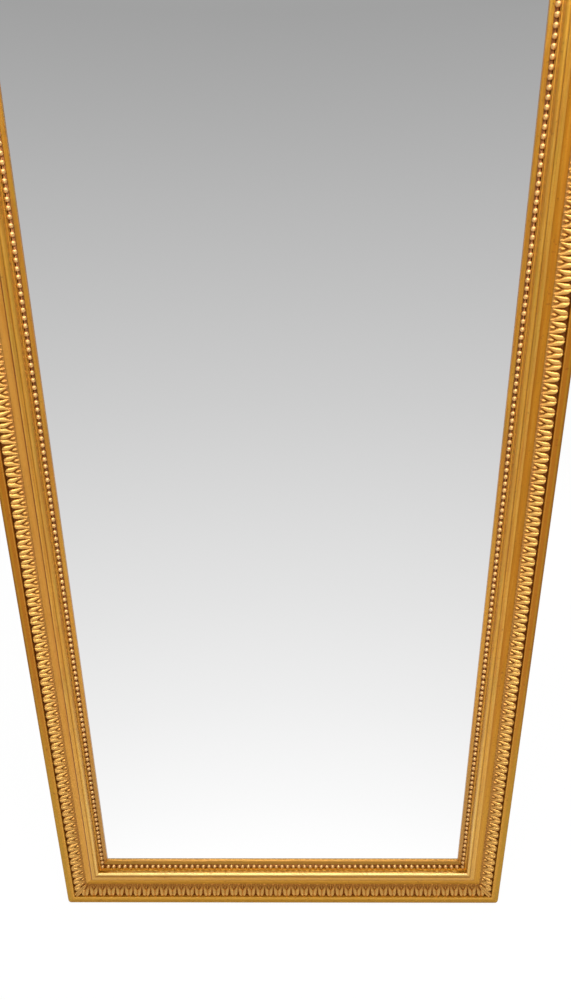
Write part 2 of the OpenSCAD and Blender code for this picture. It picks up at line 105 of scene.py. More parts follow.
class PierMirrorCarving(bpy.types.PropertyGroup):
    bead_pitch: metres("Bead pitch", "Distance from bead to bead, roughly", 0.0144, 0.01)
    bead_sink: metres("Bead sink", "How far a bead is cut flat where it sits", 0.0023)
    thread_r: metres("Thread", "Radius of the thread that the beads are strung on", 0.0013, 0.0005)
    slope_w: metres("Slope", "Width of the plain slope beside the glass", 0.0065)
    channel_w: metres("Channel", "Width of the channel that holds the beads", 0.011)
    step_w: metres("Step, width", "Width of the step between the beads and the ovolo", 0.0015)
    step_h: metres("Step, height", "Height of that step above the channel's floor", 0.0043)
    ovolo_r: metres("Ovolo", "Radius of the quarter round", 0.008)
    corner_w: metres("Corner leaf", "Width of the leaf that covers a mitre", 0.015)
    corner_clear: metres("Corner gap", "Bare ground that the row leaves beside a mitre", 0.009)
    leaf_pitch: metres("Leaf pitch", "Distance from leaf to leaf, roughly", 0.0224, 0.015)
    ground_outer: metres("Leaf ground, outer", "Distance of its outer end from the wall", 0.0607)
    ground_inner: metres("Leaf ground, inner", "Distance of its inner end from the wall", 0.0545)
    leaf_h: metres("Leaf height", "Height of a leaf's lobes above the ground", 0.0074)
    bed_t: metres("Leaf bed", "Thickness of the strip under the leaves", 0.002)


def hex_colour(name, description, hex_value):
    """A colour as an sRGB hex string."""
    return bpy.props.StringProperty(name=name, description=description + ", sRGB hex", default=hex_value)


class PierMirrorFinish(bpy.types.PropertyGroup):
    leaf_gold: hex_colour("Leaf gold", "Gold leaf where it is sound", "#D4921C")
    # Thick bright leaf, and also the colour of painted highlights and painted light on the mouldings
    pale_gold_and_highlight: hex_colour("Pale gold", "Gold leaf where it is thick and bright", "#F0BE54")
    # Gold warmed by the bole, and also painted shade on the cove and the outer band
    deep_gold_and_shade: hex_colour("Deep gold", "Gold leaf where the bole warms it", "#B96F08")
    olive_gold: hex_colour("Olive gold", "Gold leaf dulled by old size", "#B48A1C")
    bead_gold: hex_colour("Bead gold", "Gold leaf rubbed pale on the beads", "#E9B58A")
    # The bole, and also the colour of painted shade in recesses, in the bead channel and under the leaves
    bole_and_shade: hex_colour("Bole", "Red clay under the leaf", "#743404")
    # Laid on towards the bottom of the frame
    lower_tint: hex_colour("Cleaned gold", "Gold leaf yellower from cleaning", "#DCA536")
    # Partly rubbed gold and partly a painted highlight on the carving's crests
    proud_gold_and_highlight: hex_colour("Proud gold", "Gold leaf on the highest carving", "#EEBD66")
    # A painted highlight
    ovolo_highlight: hex_colour("Bright gold", "Gold leaf on the ovolo's crown", "#F7E3A8")
    # Painted light in the left hollow
    hollow_light: hex_colour("Warm gold", "Gold leaf in the left side's hollow", "#E4A650")
    # Painted shade
    ovolo_foot_shade: hex_colour("Brown gold", "Gold leaf at the ovolo's foot", "#85661A")
    # Old toning, and also the colour of painted shade in corners, recesses and shade lines
    toning_and_shade: hex_colour("Toned gold", "Gold under old toning in the hollows", "#8E540C")
    ochre: hex_colour("Ochre wash", "Matt paint on the edge and back of the rails", "#A8864C")
    silver: hex_colour("Silver", "Silvering behind the plate", "#F4F4F4")
    pine_light: hex_colour("Pine, light", "Early wood of the pine frame", "#C19A63")
    pine_dark: hex_colour("Pine, dark", "Late wood of the pine frame", "#8E6433")
    board_light: hex_colour("Backboard, light", "Early wood of the panelled back", "#A98556")
    board_dark: hex_colour("Backboard, dark", "Late wood of the panelled back", "#704E2B")
    dust: hex_colour("Dust", "Grey dust on the wood", "#7A6A55")
    brass: hex_colour("Brass", "Dull brass of the hangers", "#CDAE66")
    tarnish: hex_colour("Tarnish", "Brown tarnish on the brass", "#5E4524")
    steel: hex_colour("Steel", "Dull steel of the screws", "#7D7A75")
    rust: hex_colour("Rust", "Rust on the screws", "#4A3527")


# ---- Materials ----

SMOOTH = {"interpolation_type": "SMOOTHSTEP"}
TIMES = {"operation": "MULTIPLY"}
ZONE_EDGE_MM = 0.4          # half the width over which a zone's edge fades
EVERYWHERE = (-1000.0, 1000.0, -1000.0, 1000.0)     # a zone round the whole section, in mm
LOW_FROM, LOW_TO = -0.3, -0.85      # where the yellower lower part begins and is full, in half heights
LEAF_METALLIC = 0.72        # size and dirt over the leaf dull its metal


def to_linear(hex_value):
    """An sRGB hex colour as linear RGBA."""
    channels = [int(hex_value[i:i + 2], 16) / 255 for i in (1, 3, 5)]
    linear = [c / 12.92 if c <= 0.04045 else ((c + 0.055) / 1.055) ** 2.4 for c in channels]
    return (*linear, 1.0)


def add_node(tree, kind, settings=None, **links):
    """Adds a node. settings are its attributes. links set its inputs, by name or by _index, to a value,
    to a socket, or to a node's first output in use."""
    node = tree.nodes.new(kind)
    for name, value in (settings or {}).items():
        setattr(node, name, value)
    for name, value in links.items():
        socket = node.inputs[int(name[1:]) if name.startswith("_") else name.replace("_", " ")]
        if isinstance(value, bpy.types.Node):
            value = next(output for output in value.outputs if output.enabled)
        if isinstance(value, bpy.types.NodeSocket):
            tree.links.new(value, socket)
        else:
            socket.default_value = value
    return node


def new_material(name):
    material = bpy.data.materials.new(name)
    material.use_nodes = True
    material.node_tree.nodes.clear()
    return material, material.node_tree


def object_space(tree):
    return add_node(tree, "ShaderNodeTexCoord").outputs["Object"]


def blotches(tree, vector, size_mm, start, end, low=0.0, high=1.0):
    """Soft blotches about size_mm across: low outside them, high inside. start and end set their edge."""
    cloud = add_node(tree, "ShaderNodeTexNoise",
                     Vector=vector, Scale=1 / (size_mm * MM), Detail=4.0, Roughness=0.6)
    return add_node(tree, "ShaderNodeMapRange", SMOOTH, _0=cloud, _1=start, _2=end, _3=low, _4=high)


def lay_over(tree, colour, hex_value, amount):
    """The colour so far with another laid over it."""
    return add_node(tree, "ShaderNodeMix", {"data_type": "RGBA"},
                    _0=amount, _6=colour, _7=to_linear(hex_value))


def reaches(tree):
    """How far out from the sight edge a point lies sideways and upright, and its position split up."""
    split = add_node(tree, "ShaderNodeSeparateXYZ", Vector=object_space(tree))
    reach = []
    for axis, half in ((0, HALF_W), (2, HALF_H)):
        away = add_node(tree, "ShaderNodeMath", {"operation": "ABSOLUTE"}, _0=split.outputs[axis])
        reach.append(add_node(tree, "ShaderNodeMath", {"operation": "SUBTRACT"}, _0=away, _1=half - FACE_W))
    return *reach, split


def on_upright(tree):
    """1 on the left and right sides, 0 on the bottom and top ones."""
    sideways, updown, _ = reaches(tree)
    return add_node(tree, "ShaderNodeMath", {"operation": "GREATER_THAN"}, _0=sideways, _1=updown)


def section_space(tree, along_share=1.0):
    """A point's place in the moulding, alike on all four sides and true at the mitres: X is out from the
    sight edge, Y is forward of the wall, and Z is along the side, times along_share."""
    sideways, updown, split = reaches(tree)
    out = add_node(tree, "ShaderNodeMath", {"operation": "MAXIMUM"}, _0=sideways, _1=updown)
    along = add_node(tree, "ShaderNodeMix", _0=on_upright(tree), _2=split.outputs[0], _3=split.outputs[2])
    along = add_node(tree, "ShaderNodeMath", TIMES, _0=along, _1=along_share)
    forward = add_node(tree, "ShaderNodeMath", TIMES, _0=split.outputs[1], _1=-1.0)
    return add_node(tree, "ShaderNodeCombineXYZ", _0=out, _1=forward, _2=along)


def in_corners(tree, section, corners):
    """Up to 1 in corners, where painted shade and dirt darken the gilding, most of all on level work. A
    corner is (out, forward, radius, amount), in mm."""
    ragged = blotches(tree, section_space(tree, 0.3), 9.0, 0.2, 0.8, 0.55, 1.3)
    # Level work gets more of the painted shade and dirt than the uprights
    level_weight = add_node(tree, "ShaderNodeMapRange", _0=on_upright(tree), _3=1.0, _4=0.35)
    ragged = add_node(tree, "ShaderNodeMath", TIMES, _0=ragged, _1=level_weight)
    total = 0.0
    flat = add_node(tree, "ShaderNodeVectorMath", TIMES, _0=section, _1=(1, 1, 0))
    for out, forward, radius, amount in corners:
        away = add_node(tree, "ShaderNodeVectorMath", {"operation": "DISTANCE"},
                        _0=flat, _1=(out * MM, forward * MM, 0))
        near = add_node(tree, "ShaderNodeMapRange", SMOOTH,
                        _0=away.outputs["Value"], _1=radius * MM, _2=0.0, _3=0.0, _4=amount)
        total = add_node(tree, "ShaderNodeMath", {"operation": "MAXIMUM"}, _0=near, _1=total)
    return add_node(tree, "ShaderNodeMath", {**TIMES, "use_clamp": True}, _0=total, _1=ragged)


def in_zone(tree, space, zone, amount):
    """The amount inside a zone, 0 outside. A zone is (X from, X to, Y from, Y to) in the space, in mm."""
    split = add_node(tree, "ShaderNodeSeparateXYZ", Vector=space)
    inside = amount
    for output, start, end in ((split.outputs[0], *zone[:2]), (split.outputs[1], *zone[2:])):
        for edge, low, high in ((start, 0.0, 1.0), (end, 1.0, 0.0)):
            part = add_node(tree, "ShaderNodeMapRange", SMOOTH,
                            _0=output, _1=(edge - ZONE_EDGE_MM) * MM, _2=(edge + ZONE_EDGE_MM) * MM,
                            _3=low, _4=high)
            inside = add_node(tree, "ShaderNodeMath", TIMES, _0=part, _1=inside)
    return inside


def gilding(name, finish, burnish, zones=(), low_zones=(), corners=(), places=(), washed=(),
            has_recess=False):
    """Gold leaf on gesso over red bole, burnished or left matt, with a thin size coat. The leaf is uneven
    along the moulding and rubbed to the bole in flecks. Painted shade and dirt darken it in corners and
    recesses, and the zones lay painted highlights, painted shade and tints on it. The washed zones have
    matt ochre."""
    material, tree = new_material(name)
    position = object_space(tree)
    section = section_space(tree)
    streaked = section_space(tree, 0.045)
    colour = to_linear(finish.leaf_gold)
    for hex_value, space, size_mm, start, end, amount in (
            (finish.deep_gold_and_shade, streaked, 7.0, 0.42, 0.64, 0.6),
            (finish.olive_gold, section_space(tree, 0.09), 9.0, 0.48, 0.66, 0.45),
            (finish.pale_gold_and_highlight, section_space(tree, 0.06), 6.0, 0.5, 0.7, 0.25),
            (finish.deep_gold_and_shade, position, 6.0, 0.5, 0.75, 0.4)):
        colour = lay_over(tree, colour, hex_value, blotches(tree, space, size_mm, start, end, 0.0, amount))
    for zone, hex_value, amount in zones:
        colour = lay_over(tree, colour, hex_value, in_zone(tree, section, zone, amount))
    # The gold is yellower towards the bottom of the frame
    height = add_node(tree, "ShaderNodeSeparateXYZ", Vector=position).outputs[2]
    low_down = add_node(tree, "ShaderNodeMapRange", SMOOTH,
                        _0=height, _1=LOW_FROM * HALF_H, _2=LOW_TO * HALF_H, _3=0.0, _4=1.0)
    lower_tint = add_node(tree, "ShaderNodeMath", TIMES, _0=low_down, _1=0.1 if has_recess else 0.5)
    colour = lay_over(tree, colour, finish.lower_tint, lower_tint)
    for zone, hex_value, level, upright in low_zones:
        amount = add_node(tree, "ShaderNodeMapRange", _0=on_upright(tree), _3=level, _4=upright)
        share = add_node(tree, "ShaderNodeMath", TIMES, _0=low_down, _1=amount)
        colour = lay_over(tree, colour, hex_value, in_zone(tree, section, zone, share))
    colour = lay_over(tree, colour, finish.bole_and_shade, blotches(tree, position, 8.0, 0.62, 0.72, 0.0, 0.45))
    # Painted shade and dirt in the corners of the section
    shade_and_dirt = 0.0
    if corners:
        shade_and_dirt = in_corners(tree, section, corners)
        colour = lay_over(tree, colour, finish.toning_and_shade, shade_and_dirt)
    # Places on one upright are told by X and Y in the object
    for place, hex_value, least, most in places:
        share = blotches(tree, section_space(tree, 0.2), 12.0, 0.25, 0.6, least, most)
        share = add_node(tree, "ShaderNodeMath", TIMES, _0=share, _1=on_upright(tree))
        colour = lay_over(tree, colour, hex_value, in_zone(tree, position, place, share))
    if has_recess:
        shade_and_dirt = add_node(tree, "ShaderNodeAttribute", {"attribute_name": "recess"}).outputs["Fac"]
        # Painted shade in the recesses, with bole at the deepest, and on the proud carving a pale tone that
        # is partly rubbed gold and partly a painted highlight
        for hex_value, start, end, amount in (
                (finish.proud_gold_and_highlight, 0.3, 0.0, 0.55), (finish.toning_and_shade, 0.1, 0.75, 0.75),
                (finish.bole_and_shade, 0.7, 1.0, 0.68)):
            deep = add_node(tree, "ShaderNodeMapRange", SMOOTH, _0=shade_and_dirt, _1=start, _2=end, _3=0.0, _4=amount)
            colour = lay_over(tree, colour, hex_value, deep)
        # The carving is darker towards the bottom of the frame
        darker_low_down = add_node(tree, "ShaderNodeMath", TIMES, _0=low_down, _1=0.22)
        colour = lay_over(tree, colour, finish.toning_and_shade, darker_low_down)
    metal = LEAF_METALLIC
    for zone in washed:
        wash = in_zone(tree, section, zone, 0.9)
        colour = lay_over(tree, colour, finish.ochre, wash)
        metal = add_node(tree, "ShaderNodeMapRange", _0=wash, _3=metal, _4=0.0)
    dull = 0.22 * (1 - burnish)
    rough = blotches(tree, position, 6.0, 0.3, 0.8, 0.28 + dull, 0.44 + dull)
    worked = blotches(tree, position, 4.0, 0.2, 0.8)
    drawn = blotches(tree, streaked, 2.0, 0.2, 0.8)
    height = add_node(tree, "ShaderNodeMath", {"operation": "ADD"}, _0=worked, _1=drawn)
    bump = add_node(tree, "ShaderNodeBump", Strength=0.3, Distance=0.5 * MM, Height=height)
    coat = 0.9 * burnish ** 3
    size = add_node(tree, "ShaderNodeMapRange", _0=shade_and_dirt, _3=coat, _4=0.1 * coat)
    shader = add_node(tree, "ShaderNodeBsdfPrincipled", Base_Color=colour, Roughness=rough,
                      Metallic=metal, Coat_Weight=size, Coat_Roughness=0.42 - 0.2 * burnish, Normal=bump)
    add_node(tree, "ShaderNodeOutputMaterial", Surface=shader)
    return material


def silvered_plate(finish):
    """Polished plate glass with silvering behind it: a clean mirror."""
    material, tree = new_material("Silvered plate glass")
    rough = blotches(tree, object_space(tree), 30.0, 0.7, 0.8, 0.008, 0.02)
    shader = add_node(tree, "ShaderNodeBsdfPrincipled", Base_Color=to_linear(finish.silver),
                      Roughness=rough, Metallic=1.0)
    add_node(tree, "ShaderNodeOutputMaterial", Surface=shader)
    return material


def softwood(name, light, dark, dust_hex, along, ring_mm, dust):
    """Planed softwood: fine rings drawn out along the grain, darker streaks and patches, and grey dust."""
    material, tree = new_material(name)
    position = object_space(tree)
    stretch = {"X": (0.03, 1.0, 1.0), "Z": (1.0, 1.0, 0.03)}[along]
    grain = add_node(tree, "ShaderNodeMapping", Vector=position, Scale=stretch)
    rings = add_node(tree, "ShaderNodeTexWave", {"wave_type": "BANDS", "bands_direction": "DIAGONAL"},
                     Vector=grain, Scale=0.16 / (ring_mm * MM), Distortion=9.0, Detail=3.0,
                     Detail_Scale=0.35, Detail_Roughness=0.6)
    # Rings come out strongly in some strips and fade in others
    shown = blotches(tree, grain, 70.0, 0.35, 0.7, 0.05, 0.45)
    late_wood = add_node(tree, "ShaderNodeMapRange", SMOOTH,
                         _0=rings.outputs["Fac"], _1=0.3, _2=1.0, _3=0.0, _4=shown)
    colour = lay_over(tree, to_linear(light), dark, late_wood)
    for hex_value, space, size_mm, start, end, amount in (
            (dark, grain, 1.2, 0.45, 0.8, 0.35), (dark, grain, 7.0, 0.4, 0.75, 0.4),
            (dark, grain, 40.0, 0.4, 0.7, 0.4), (dark, position, 160.0, 0.45, 0.8, 0.25),
            (dust_hex, position, 220.0, 0.4, 0.7, dust)):
        colour = lay_over(tree, colour, hex_value, blotches(tree, space, size_mm, start, end, 0.0, amount))
    bump = add_node(tree, "ShaderNodeBump", Strength=0.3, Distance=0.3 * MM, Height=rings.outputs["Fac"])
    shader = add_node(tree, "ShaderNodeBsdfPrincipled", Base_Color=colour, Roughness=0.72, Normal=bump)
    add_node(tree, "ShaderNodeOutputMaterial", Surface=shader)
    return material


def worn_metal(name, hex_value, dirt_hex, roughness, blob_mm=4.0):
    """Pressed or drawn metal, dulled by handling, with brown tarnish in patches."""
    material, tree = new_material(name)
    position = object_space(tree)
    patches = blotches(tree, position, blob_mm, 0.45, 0.75, 0.0, 0.6)
    colour = lay_over(tree, to_linear(hex_value), dirt_hex, patches)
    rough = blotches(tree, position, 1.5, 0.3, 0.7, roughness, roughness + 0.18)
    bump = add_node(tree, "ShaderNodeBump", Strength=0.15, Distance=0.3 * MM,
                    Height=blotches(tree, position, 0.8, 0.2, 0.8))
    shader = add_node(tree, "ShaderNodeBsdfPrincipled", Base_Color=colour, Roughness=rough,
                      Metallic=1.0, Normal=bump)
    add_node(tree, "ShaderNodeOutputMaterial", Surface=shader)
    return material


# ---- Mesh helpers ----

def put_in_scene(name, mesh, material, smooth):
    """A mesh as an object of the scene, with its material."""
    mesh.materials.append(material)
    for polygon in mesh.polygons:
        polygon.use_smooth = smooth
    piece = bpy.data.objects.new(name, mesh)
    bpy.context.scene.collection.objects.link(piece)
    return piece


def flat_piece(name, bm, material):
    """A finished mesh object with flat faces, from a bmesh."""
    bmesh.ops.recalc_face_normals(bm, faces=bm.faces)
    mesh = bpy.data.meshes.new(name)
    bm.to_mesh(mesh)
    bm.free()
    return put_in_scene(name, mesh, material, smooth=False)


def carved_piece(name, vertices, faces, recess, material):
    """A smooth mesh object from lists, with a recess value for each vertex, 0 proud and 1 deep, that the
    gilding paints as shade and highlight.
    """
    mesh = bpy.data.meshes.new(name)
    mesh.from_pydata([tuple(v) for v in vertices], [], [tuple(f) for f in faces])
    attribute = mesh.attributes.new("recess", "FLOAT", "POINT")
    attribute.data.foreach_set("value", np.asarray(recess, np.float32))
    mesh.update()
    return put_in_scene(name, mesh, material, smooth=True)


def ring_faces(low, high, count):
    """The faces between two rings of count vertices, which start at low and high."""
    return [(low + k, low + (k + 1) % count, high + (k + 1) % count, high + k) for k in range(count)]


def repaint(node, material):
    """Gives a CAD node its finish."""
    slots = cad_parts[node].data.materials
    if len(slots) == 0:
        slots.append(material)
    for i in range(len(slots)):
        slots[i] = material


def turned_points(points, side):
    """Points of the bottom side's work, brought to a side."""
    turn = np.array(Matrix.Rotation(side * QUARTER_TURN, 3, "Y"))
    return np.asarray(points, float) @ turn.T


# ---- Beads ----

def bead_profile(radius, sink, steps=8):
    """Half section of a bead that is cut flat at its base: (distance from its axis, height)."""
    start = math.asin((radius - sink) / radius)
    turns = np.linspace(-start, math.pi / 2, steps)
    return [(radius * math.cos(t), radius * math.sin(t) + radius - sink) for t in turns]


def bead_row(side, sizes):
    """One side's beads, their strip and the thread between them: vertices, faces and recess values."""
    half, distance = side_reach(side)
    has_corners = side % 2 == 0
    line = BEAD_INSET - distance
    length = 2 * (half - BEAD_INSET)
    count = round(length / sizes.bead_pitch)
    pitch = length / count
    first = 0 if has_corners else 1
    floor_y = BEAD_HIGH[1]
    profile = bead_profile(BEAD_D / 2, sizes.bead_sink)
    segments = 18
    turns = np.arange(segments) * 2 * math.pi / segments
    uneven = np.random.default_rng(11 + side)
    vertices, faces, recess = [], [], []
    for i in range(first, count + 1 - first):
        # Cast and trimmed by hand, so no bead is quite round, full or in line
        wide, tall, full = uneven.uniform(0.94, 1.0, 3)
        x = i * pitch - length / 2 + uneven.uniform(-0.25, 0.25) * MM
        z = line + uneven.uniform(-0.15, 0.15) * MM
        base = len(vertices)
        for radius, height in profile[:-1]:
            for turn in turns:
                vertices.append((x + radius * wide * math.cos(turn), floor_y - height * full,
                                 z + radius * tall * math.sin(turn)))
                # Painted shade at the bead's foot
                recess.append(max(0.0, 0.5 - 4.0 * height / BEAD_D))
        vertices.append((x, floor_y - profile[-1][1] * full, z))
        recess.append(0.0)
        for ring in range(len(profile) - 2):
            low = base + ring * segments
            faces += ring_faces(low, low + segments, segments)
        top = len(vertices) - 1
        last = base + (len(profile) - 2) * segments
        faces += [(last + k, last + (k + 1) % segments, top) for k in range(segments)]
        faces.append(tuple(base + k for k in reversed(range(segments))))
    bed_half = BEAD_D * 0.4
    reach = length / 2 + (bed_half if has_corners else -BEAD_D / 2 - 0.3 * MM)
    thread = sizes.thread_r
    # Half a section of the strip and its thread: (distance from the line, height, recess, painted as shade)
    bed = [(bed_half, 0.0, 0.9), (bed_half, 0.9 * MM, 0.9), (thread * 1.4, 1.2 * MM, 0.95),
           (thread, 2.6 * MM, 0.9), (0.0, 3.1 * MM, 0.75)]
    bed = [(-offset, height, depth) for offset, height, depth in bed] + bed[-2::-1]
    base = len(vertices)
    for x in (-reach, reach):
        for offset, height, depth in bed:
            vertices.append((x, floor_y - height, line + offset))
            recess.append(depth)
    n = len(bed)
    faces += ring_faces(base, base + n, n)
    faces.append(tuple(base + k for k in reversed(range(n))))
    faces.append(tuple(base + n + k for k in range(n)))
    return turned_points(vertices, side), faces, recess


class PIERMIRROR_OT_beads(bpy.types.Operator):
    """Strings the bead rows into their channel."""
    bl_idname = "piermirror.beads"
    bl_label = "Bead rows"

    def execute(self, context):
        sizes = context.scene.pier_mirror_carving
        finish = context.scene.pier_mirror_finish
        material = gilding("Water gilding on cast beads", finish, 0.65,
                           ((EVERYWHERE, finish.bead_gold, 0.8),), has_recess=True)
        for side, name in enumerate(SIDES):
            piece = carved_piece("beads_" + name, *bead_row(side, sizes), material)
            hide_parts("bead_strip_" + name)
            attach(piece, "frame")
        return {"FINISHED"}


# ---- Leaves ----

def smooth_step(low, high, value):
    """0 below low, 1 above high, and a smooth rise between them."""
    t = np.clip((value - low) / (high - low), 0.0, 1.0)
    return t * t * (3 - 2 * t)


def leaf_relief(u, v):
    """Height of the carving, 0 to 1. u runs across a leaf, -0.5 to 0.5, and v inwards from its outer end."""
    across = np.abs(u)
    # Two broad blades side by side, which lean apart and run out in points beside the neighbours' points
    lean = smooth_step(0.35, 1.0, v)
    crest = 0.222 + 0.22 * lean
    blade_w = 0.245 * (1 - 0.72 * lean)
    blades = np.sqrt(np.clip(1 - ((across - crest) / blade_w) ** 2, 0, 1))
    groove = np.exp(-(across / 0.022) ** 2) * smooth_step(0.08, 0.2, v) * (1 - lean)
    # The leaf's round outer end
    round_l = 0.38
    round_end = np.sqrt(np.clip(1 - (1 - np.minimum(v, round_l) / round_l) ** 2, 0, 1))
    inside = smooth_step(0.0, 0.06, 0.485 * round_end + 0.1 * lean - across)
    fall = 1.0 - 0.62 * smooth_step(0.2, 0.95, v)
    body = blades * inside * fall * (0.5 + 0.5 * round_end) * (1 - 0.55 * groove)
    # A small pointed bud stands in the opening between the blades
    bud_w = 0.125 * np.sin(math.pi * np.clip((v - 0.6) / 0.38, 0, 1)) + 1e-6
    bud = 0.5 * np.sqrt(np.clip(1 - (across / bud_w) ** 2, 0, 1))
    body = np.maximum(body, bud * (v > 0.6))
    return body * smooth_step(0.0, 0.02, v) * (1 - smooth_step(0.86, 1.0, v))


def leaf_band(side, sizes, columns=24, rows=26):
    """One side's leaf band as a closed strip between its two mitres: vertices, faces and recess values."""
    half, distance = side_reach(side)
    width = LEAF_INNER - LEAF_OUTER
    middle_inset = (LEAF_INNER + LEAF_OUTER) / 2
    mid_l = 2 * (half - middle_inset)
    count = round(mid_l / sizes.leaf_pitch)
    pitch = mid_l / count
    # Rows lie closer at the round outer ends
    v = np.linspace(0.0, 1.0, rows) ** 1.25
    limits = half - (LEAF_OUTER + v * width)
    whole = int(math.ceil(limits[0] / (pitch / columns))) + 1
    stations = np.arange(-whole, whole + 1) * pitch / columns
    # One leaf's middle lies half a pitch off the side's middle when their number is even
    shift = 0.5 if count % 2 == 0 else 0.0
    uneven = np.random.default_rng(23 + side)
    fullness = uneven.uniform(0.86, 1.04, 2 * count + 8)
    sway = uneven.uniform(-0.02, 0.02, 2 * count + 8)
    vertices, recess = [], []
    for station in stations:
        along = np.clip(station, -limits, limits)
        place = along / pitch + shift + 0.5
        number = np.floor(place).astype(int) + count
        u = np.clip(place % 1.0 - 0.5 + sway[number] * (1 - v), -0.5, 0.5)
        # The leaves sink away under the corner leaves
        clear = smooth_step(sizes.corner_clear * 0.3, sizes.corner_clear, limits - np.abs(along))
        relief = leaf_relief(u, v) * fullness[number] * clear
        ground = sizes.ground_outer + (sizes.ground_inner - sizes.ground_outer) * v
        top = ground - 0.2 * MM + sizes.leaf_h * relief
        z = LEAF_OUTER + v * width - distance
        vertices.append((along[0], -(ground[0] - sizes.bed_t), z[0]))
        recess.append(1.0)
        for j in range(rows):
            vertices.append((along[j], -top[j], z[j]))
            # Painted shade in the leaves' hollows and over their inner ends, the inner ends darkest on the
            # level sides
            deep = np.clip(1.1 - 2.7 * relief[j], 0, 1) * (1 - 0.6 * smooth_step(0.5, 1.0, v[j]))
            inner_shade = 0.36 * smooth_step(0.5, 0.85, v[j]) + 0.45 * smooth_step(0.8, 0.96, v[j])
            deep = max(deep, inner_shade * (1.0 if side % 2 == 0 else 0.5))
            recess.append(float(deep))
        vertices.append((along[-1], -(ground[-1] - sizes.bed_t), z[-1]))
        recess.append(0.4)
    n = rows + 2
    faces = []
    for i in range(len(stations) - 1):
        faces += ring_faces(i * n, (i + 1) * n, n)
    faces.append(tuple(reversed(range(n))))
    last = (len(stations) - 1) * n
    faces.append(tuple(last + j for j in range(n)))
    return turned_points(vertices, side), faces, recess


def corner_leaf(hand_x, hand_z, sizes, columns=15, rows=26):
    """The leaf that covers a mitre of the leaf band: vertices, faces and recess values."""
    width = LEAF_INNER - LEAF_OUTER
    diagonal = width * math.sqrt(2)
    vertices, recess = [], []
    for v in np.linspace(0.02, 0.98, rows):
        # Narrow at both ends, and widest near the outer one
        half_w = sizes.corner_w / 2 * math.sqrt(math.sin(math.pi * min(1.0, 0.1 + 0.9 * v ** 0.7)))
        for part in np.linspace(-1.0, 1.0, columns):
            aside = part * half_w / diagonal
            ground = sizes.ground_outer + (sizes.ground_inner - sizes.ground_outer) * (v - abs(aside))
            # Two swells with their crests at 0.45, and a groove between them
            dome = math.sqrt(max(0.0, 1 - ((abs(part) - 0.45) / 0.55) ** 2))
            relief = dome * (1.05 - 0.35 * v) * min(1.0, 8 * v + 0.3, 6 * (1 - v) + 0.3)
            x = HALF_W - LEAF_OUTER - (v + aside) * width
            z = HALF_H - LEAF_OUTER - (v - aside) * width
            vertices.append((hand_x * x, -(ground - 0.6 * MM + sizes.leaf_h * relief), hand_z * z))
            # Painted shade in the hollows
            recess.append(float(np.clip(1.0 - 1.6 * relief, 0, 1)))
    top_count = len(vertices)
    under = min(sizes.ground_outer, sizes.ground_inner) - sizes.bed_t * 0.4
    vertices += [(x, -under, z) for x, _, z in vertices]
    recess += [1.0] * top_count
    faces = []
    for i in range(rows - 1):
        for k in range(columns - 1):
            a = i * columns + k
            quad = (a, a + 1, a + columns + 1, a + columns)
            faces += [quad, tuple(top_count + q for q in reversed(quad))]
    rim = list(range(columns)) + [i * columns + columns - 1 for i in range(1, rows)]
    rim += [(rows - 1) * columns + k for k in reversed(range(columns - 1))]
    rim += [i * columns for i in reversed(range(1, rows - 1))]
    faces += [(b, a, top_count + a, top_count + b) for a, b in zip(rim, rim[1:] + rim[:1])]
    return vertices, faces, recess


def weld(piece):
    """Closes the zero-width faces where a strip runs into its mitre."""
    bm = bmesh.new()
    bm.from_mesh(piece.data)
    bmesh.ops.remove_doubles(bm, verts=bm.verts, dist=1e-6)
    bmesh.ops.dissolve_degenerate(bm, edges=bm.edges, dist=1e-6)
    bmesh.ops.recalc_face_normals(bm, faces=bm.faces)
    bm.to_mesh(piece.data)
    bm.free()
    piece.data.update()


class PIERMIRROR_OT_leaves(bpy.types.Operator):
    """Carves the leaf bands."""
    bl_idname = "piermirror.leaves"
    bl_label = "Leaf bands"

    def execute(self, context):
        sizes = context.scene.pier_mirror_carving
        finish = context.scene.pier_mirror_finish
        material = gilding("Oil gilding on leaf carving", finish, 0.6,
                           ((EVERYWHERE, finish.bead_gold, 0.2),), has_recess=True)
        for side, name in enumerate(SIDES):
            piece = carved_piece("leaves_" + name, *leaf_band(side, sizes), material)
            weld(piece)
            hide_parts("leaf_strip_" + name)
            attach(piece, "frame")
        for name, hand_x, hand_z in CORNERS:
            piece = carved_piece("corner_leaf_" + name, *corner_leaf(hand_x, hand_z, sizes), material)
            weld(piece)
            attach(piece, "frame")
        return {"FINISHED"}


# ---- Mouldings ----

def section_marks(sizes):
    """Places in the moulding's section in mm: out from the sight edge, and forward of the wall."""
    channel = sizes.slope_w + sizes.channel_w
    ovolo = channel + sizes.step_w
    floor, front = -BEAD_HIGH[1], -SLIP_LOW[1]
    marks = {
        "slope": sizes.slope_w, "channel": channel, "ovolo": ovolo, "quirk": ovolo + sizes.ovolo_r,
        "slip": FACE_W - HALF_H - SLIP_LOW[2], "leaf_inner": FACE_W - LEAF_INNER,
        "leaf_outer": FACE_W - LEAF_OUTER, "edge": FACE_W, "seat": -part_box("mirror_plate")[0][1],
        "floor": floor, "step_top": floor + sizes.step_h, "shoulder": front - sizes.ovolo_r,
        "front": front, "ground": sizes.ground_outer, "band": -RAIL_LOW[1]}
    return SimpleNamespace(**{name: place / MM for name, place in marks.items()})


